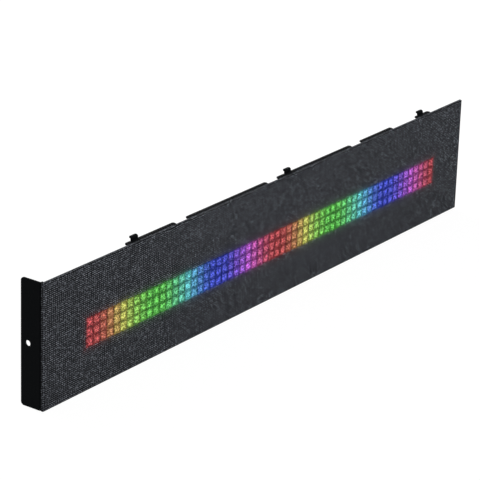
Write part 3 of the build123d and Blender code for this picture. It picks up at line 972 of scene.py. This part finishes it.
class MATRIXPANEL_OT_board_print(bpy.types.Operator):
    """Adds the printed frames round the parts on the boards."""

    bl_idname = "matrix_panel.board_print"
    bl_label = "Board print"

    def execute(self, context):
        boards = context.scene.matrix_panel_boards
        line, ink = boards.ink_line, boards.ink_height
        depth = CIRCUIT_BACK + ink / 2
        chip = join([
            outline(mm(*low), mm(*high), depth, line, ink) for low, high in CHIP_FRAMES
        ])
        places = [at(x, CHIP_LEVEL) for number in MODULES for x in chip_places(number)]
        pieces = [repeat(chip, places)]
        for name, gap in FRAME_GAPS.items():
            low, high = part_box(name)
            pieces.append(outline(
                (low.x - gap * MM, low.z - gap * MM), (high.x + gap * MM, high.z + gap * MM),
                depth, line, ink,
            ))
        seat(join(pieces), "board_print", finish("white_print_ink"))
        return {"FINISHED"}


# Contact feet in a row, and the distance in mm from one to the next and from the joint
# between two boards to the row on each side.
FEET, FOOT_PITCH, FOOT_SHIFT = 7, 1.9, 5.4


class MATRIXPANEL_OT_link_contacts(bpy.types.Operator):
    """Adds the soldered contact feet of the board links."""

    bl_idname = "matrix_panel.link_contacts"
    bl_label = "Link contacts"

    def execute(self, context):
        on_board = Vector((0, CIRCUIT_BACK, 0))
        foot = block(on_board + mm(-0.9, 0, -0.3), on_board + mm(0.3, 0.3, 0.3), 0.06 * MM)
        row = repeat(foot, [at(0, z) for z in evenly(FEET, FOOT_PITCH * MM)])
        places = []
        for left, right in zip(MODULES, MODULES[1:]):
            joint = (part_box(f"led_board_{left}")[1].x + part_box(f"led_board_{right}")[0].x) / 2
            places.append(at(joint - FOOT_SHIFT * MM, CHIP_LEVEL))
            places.append(at(joint + FOOT_SHIFT * MM, CHIP_LEVEL, 180))
        low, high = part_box("controller_plug")
        middle = (low.x + high.x) / 2
        places.append(at(middle, high.z, 90))
        places.append(at(middle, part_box("controller_socket")[0].z, 270))
        seat(repeat(row, places), "link_contact_feet", finish("tinned_copper"))
        return {"FINISHED"}


# How far each ring of a can capacitor's shell lies inside its full radius, and how high over
# the board, in mm: the crimped foot, the groove, the wall and the rolled top.
CAN_RINGS = (
    (0.5, 1.0), (0.15, 1.1), (0.02, 1.3), (0.02, 1.7), (0.3, 1.9), (0.3, 2.1), (0.02, 2.3),
    (0.02, 5.4), (0.12, 5.68), (0.4, 5.78), (0.6, 5.74),
)
CAN_BASE = 1.0
# Radius and height over the board of the rings of a can's dark mark, and where it is cut.
MARK_RINGS, MARK_CUT = ((2.5, 5.72), (2.5, 5.79)), -1.1
# Radius and height over the board of the rings of the coil's round core, in mm.
CORE_RINGS = ((3.3, 3.0), (3.3, 3.9), (3.2, 4.0), (2.2, 4.0), (2.0, 3.9))
ROUND_SIDES = 32


class MATRIXPANEL_OT_power_parts(bpy.types.Operator):
    """Builds the can capacitors and the power coil in full."""

    bl_idname = "matrix_panel.power_parts"
    bl_label = "Power parts"

    def execute(self, context):
        origin = Vector((0, CIRCUIT_BACK, 0))
        low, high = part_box("can_capacitors")
        radius = (high.x - low.x) / 2
        cans = [at((low.x + high.x) / 2, z) for z in (low.z + radius, high.z - radius)]
        rings = [(radius - inset * MM, height * MM) for inset, height in CAN_RINGS]
        seat(
            repeat(turned(origin, rings, ROUND_SIDES), cans), "can_shells",
            finish("drawn_aluminium"), ["can_capacitors"],
        )
        plate = block(
            Vector((-radius, CIRCUIT_BACK, -radius)),
            Vector((radius, CIRCUIT_BACK + CAN_BASE * MM, radius)), 0.3 * MM, 2,
        )
        seat(repeat(plate, cans), "can_bases", finish("black_nylon"))
        rings = [(ring * MM, height * MM) for ring, height in MARK_RINGS]
        mark = turned(origin, rings, ROUND_SIDES)
        pick(mark, lambda place: True)
        bpy.ops.mesh.bisect(
            plane_co=(MARK_CUT * MM, 0, 0), plane_no=(1, 0, 0), clear_outer=True, use_fill=True
        )
        bpy.ops.object.mode_set(mode="OBJECT")
        seat(repeat(mark, cans), "can_marks", finish("moulded_epoxy"))

        low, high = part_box("power_coil")
        middle = (low + high) / 2
        half = (high.x - low.x) / 2
        body = block(
            Vector((-half, CIRCUIT_BACK + 0.25 * MM, -half)),
            Vector((half, high.y - 0.15 * MM, half)), 1.3 * MM, 3,
        )
        rings = [(ring * MM, height * MM) for ring, height in CORE_RINGS]
        core = join([body, turned(origin, rings, ROUND_SIDES)])
        seat(
            repeat(core, [at(middle.x, middle.z)]), "coil_core",
            finish("sintered_ferrite"), ["power_coil"],
        )
        width, reach, height = 1.6 * MM, 1.4 * MM, 0.8 * MM
        tab = block(
            Vector((-width, CIRCUIT_BACK, half - reach)),
            Vector((width, CIRCUIT_BACK + height, half)), 0.1 * MM,
        )
        tabs = repeat(tab, [at(middle.x, middle.z, turn) for turn in (0, 180)])
        seat(tabs, "coil_terminals", finish("tinned_copper"))
        return {"FINISHED"}


# The photo's camera, solved from its perspective: place in metres and turn in degrees.
CAMERA_PLACE, CAMERA_TURN = (-1.97737, -1.40041, 1.00089), (68.7904, -1.7251, -53.4958)
# Side and place in metres of each lamp, and the place that they all aim at.
LAMPS = {
    "key": (0.8, (-0.35, -2.1, 1.3)),
    "top": (1.8, (0.1, 0.4, 2.4)),
    "back": (1.6, (0.6, 2.5, 1.2)),
}
LAMP_TARGET = (0, 0, 0.06)


class MATRIXPANEL_OT_stage(bpy.types.Operator):
    """Sets up the camera, the lamps, the sky and the floor."""

    bl_idname = "matrix_panel.stage"
    bl_label = "Stage"

    def execute(self, context):
        stage = context.scene.matrix_panel_stage
        eye = bpy.data.cameras.new("camera")
        eye.lens = stage.lens
        eye.sensor_width = 36.0
        eye.clip_end = 100.0
        camera = bpy.data.objects.new("camera", eye)
        camera.location = CAMERA_PLACE
        camera.rotation_euler = [math.radians(angle) for angle in CAMERA_TURN]
        context.scene.collection.objects.link(camera)
        context.scene.camera = camera

        for name, (size, place) in LAMPS.items():
            lamp = bpy.data.lights.new(f"{name} lamp", "AREA")
            lamp.energy = getattr(stage, name)
            lamp.size = size
            obj = bpy.data.objects.new(f"{name} lamp", lamp)
            obj.location = place
            aim = Vector(LAMP_TARGET) - Vector(place)
            obj.rotation_euler = aim.to_track_quat("-Z", "Y").to_euler()
            context.scene.collection.objects.link(obj)

        world = bpy.data.worlds.new("studio")
        world.use_nodes = True
        context.scene.world = world
        tree = world.node_tree
        tree.nodes.clear()
        level = add(tree, "Mix", {0: background_rays(tree), 2: stage.sky, 3: 1.0})
        sky = add(tree, "Background", {0: (1, 1, 1, 1), 1: level})
        add(tree, "OutputWorld", {0: sky})

        bpy.ops.object.select_all(action="DESELECT")
        bpy.ops.mesh.primitive_plane_add(size=12.0, location=(0, 0, -0.2 * MM))
        floor = context.object
        bpy.ops.object.transform_apply(location=True, rotation=True, scale=True)
        floor.name = "floor"
        dress(floor, studio_floor())
        context.scene.view_settings.view_transform = "Standard"
        return {"FINISHED"}


def background_rays(tree):
    """One for rays that show the background: straight, reflected or refracted."""
    path = add(tree, "LightPath")
    shown = path.outputs["Is Camera Ray"]
    for kind in ("Is Glossy Ray", "Is Transmission Ray"):
        shown = add(tree, "Math", {0: shown, 1: path.outputs[kind]}, operation="MAXIMUM")
    return shown


def studio_floor():
    """Matt white paper sweep."""
    # It shows as the white of the background and still takes a soft shadow: nine tenths of
    # what the camera sees shine a little over white, and the rest is lit paper.
    material, tree = new_material("white_paper")
    paper = add(tree, "BsdfDiffuse", {0: (*linear("#F4F4F4"), 1)})
    white = add(tree, "Emission", {0: (1, 1, 1, 1), 1: 1.06})
    share = add(tree, "Math", {0: background_rays(tree), 1: 0.9}, operation="MULTIPLY")
    mixed = add(tree, "MixShader", {0: share, 1: paper, 2: white})
    add(tree, "OutputMaterial", {0: mixed})
    return material


class MATRIXPANEL_PT_sidebar(bpy.types.Panel):
    """Lists the steps that dress the panel, with their sizes and colours."""

    bl_idname = "MATRIXPANEL_PT_sidebar"
    bl_label = "Matrix Panel"
    bl_space_type = "VIEW_3D"
    bl_region_type = "UI"
    bl_category = "Matrix Panel"

    def draw(self, context):
        for group, settings in SETTINGS.items():
            box = self.layout.box()
            for name in settings.__annotations__:
                box.prop(getattr(context.scene, group), name)
        for step in STEPS:
            self.layout.operator(step.bl_idname)


SETTINGS = {
    "matrix_panel_stage": MatrixPanelStage,
    "matrix_panel_cloth": MatrixPanelCloth,
    "matrix_panel_light": MatrixPanelLight,
    "matrix_panel_metal": MatrixPanelMetal,
    "matrix_panel_boards": MatrixPanelBoards,
}
STEPS = (
    MATRIXPANEL_OT_stage,
    MATRIXPANEL_OT_cloth_cover,
    MATRIXPANEL_OT_metalwork,
    MATRIXPANEL_OT_mouldings,
    MATRIXPANEL_OT_lights,
    MATRIXPANEL_OT_electronics,
    MATRIXPANEL_OT_board_copper,
    MATRIXPANEL_OT_board_print,
    MATRIXPANEL_OT_chip_legs,
    MATRIXPANEL_OT_capacitor_ends,
    MATRIXPANEL_OT_link_contacts,
    MATRIXPANEL_OT_power_parts,
)


def register():
    """Registers the classes and hangs the settings on the scene."""
    for made in (*SETTINGS.values(), *STEPS, MATRIXPANEL_PT_sidebar):
        bpy.utils.register_class(made)
    for name, group in SETTINGS.items():
        setattr(bpy.types.Scene, name, PointerProperty(type=group))


def unregister():
    """Takes the settings off the scene and unregisters the classes."""
    for name in SETTINGS:
        delattr(bpy.types.Scene, name)
    for made in reversed((*SETTINGS.values(), *STEPS, MATRIXPANEL_PT_sidebar)):
        bpy.utils.unregister_class(made)


def main():
    """Runs every step in order."""
    register()
    bpy.ops.matrix_panel.stage()
    bpy.ops.matrix_panel.cloth_cover()
    bpy.ops.matrix_panel.metalwork()
    bpy.ops.matrix_panel.mouldings()
    bpy.ops.matrix_panel.lights()
    bpy.ops.matrix_panel.electronics()
    bpy.ops.matrix_panel.board_copper()
    bpy.ops.matrix_panel.board_print()
    bpy.ops.matrix_panel.chip_legs()
    bpy.ops.matrix_panel.capacitor_ends()
    bpy.ops.matrix_panel.link_contacts()
    bpy.ops.matrix_panel.power_parts()


if __name__ == "__main__":
    main()
